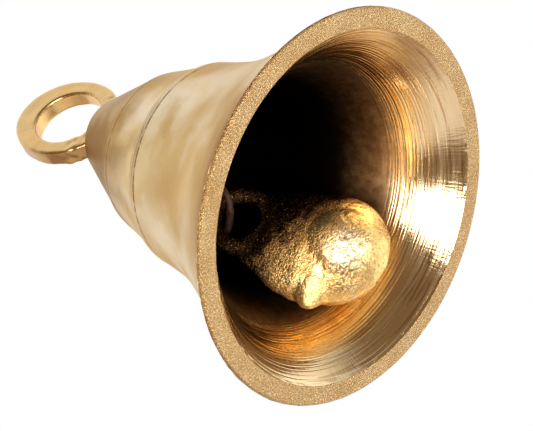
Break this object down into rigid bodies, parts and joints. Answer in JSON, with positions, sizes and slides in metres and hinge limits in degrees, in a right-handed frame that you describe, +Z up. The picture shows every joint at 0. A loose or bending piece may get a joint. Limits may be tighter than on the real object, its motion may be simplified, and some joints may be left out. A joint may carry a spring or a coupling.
{
  "type": "sanctus bell",
  "caption": "Small turned brass bell with a flared lip, an oval hanging loop on the crown and a cast clapper hung inside on a wire link.",
  "frame": {"origin": "centre of the mouth plane, which is also the bottom centre of the bounding box", "axes": "+Z up the bell's axis from the mouth to the hanging loop; the loop lies flat in the XZ plane, so its hole runs along Y"},
  "size_m": [0.044, 0.044, 0.0557],
  "materials": {
    "turned_brass": "satin turned brass",
    "cast_brass": "smooth tumbled cast brass",
    "iron_wire": "dark annealed iron wire",
    "rough_brass": "rough sand-cast brass"
  },
  "bodies": {
    "bell": {"bell_shell": "turned_brass", "hanging_loop": "cast_brass", "clapper_staple": "iron_wire"},
    "link": {"clapper_link": "iron_wire"},
    "clapper": {"clapper": "rough_brass"}
  },
  "joints": [
    {"name": "link_swing", "type": "hinge", "parent": "bell", "child": "link", "pos_m": [-0.0023, 0.001, 0.0308], "axis": [0.878, 0.4787, 0], "range_deg": [-26, 0]},
    {"name": "clapper_swing", "type": "hinge", "parent": "link", "child": "clapper", "pos_m": [-0.00365, 0.00348, 0.0175], "axis": [0.4682, -0.8588, -0.2079], "range_deg": [-25.5, 0]}
  ]
}
